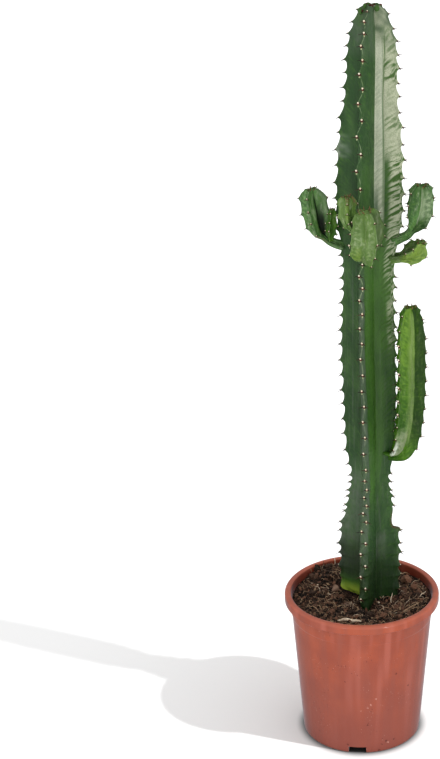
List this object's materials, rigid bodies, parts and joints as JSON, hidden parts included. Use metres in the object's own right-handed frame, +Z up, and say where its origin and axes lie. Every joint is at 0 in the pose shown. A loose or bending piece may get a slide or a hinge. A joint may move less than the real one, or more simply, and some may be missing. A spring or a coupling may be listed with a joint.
{
  "type": "potted candelabra euphorbia",
  "caption": "Tall ribbed succulent column with upright side arms and paired spines, rooted in soil in a round tapered nursery pot.",
  "frame": {"origin": "on the surface that the pot stands on, under the middle of the pot", "axes": "+Z up along the plant, -Y towards the viewer of the front, +X to the viewer's right"},
  "size_m": [0.17, 0.17, 0.814],
  "materials": {
    "pot_plastic": "satin terracotta-coloured moulded plastic",
    "soil": "crumbly peat with pale fibres and bark",
    "column_flesh": "waxy skin, dusty bloom and a soft sheen",
    "arm_flesh": "waxy young skin"
  },
  "bodies": {
    "root": {"pot": "pot_plastic", "soil": "soil", "main_stem": "column_flesh", "long_right_arm": "arm_flesh", "left_arm": "arm_flesh", "left_small_arm": "arm_flesh", "front_small_arm": "arm_flesh", "front_arm": "arm_flesh", "right_arm": "arm_flesh", "right_lower_arm": "arm_flesh"}
  },
  "joints": []
}
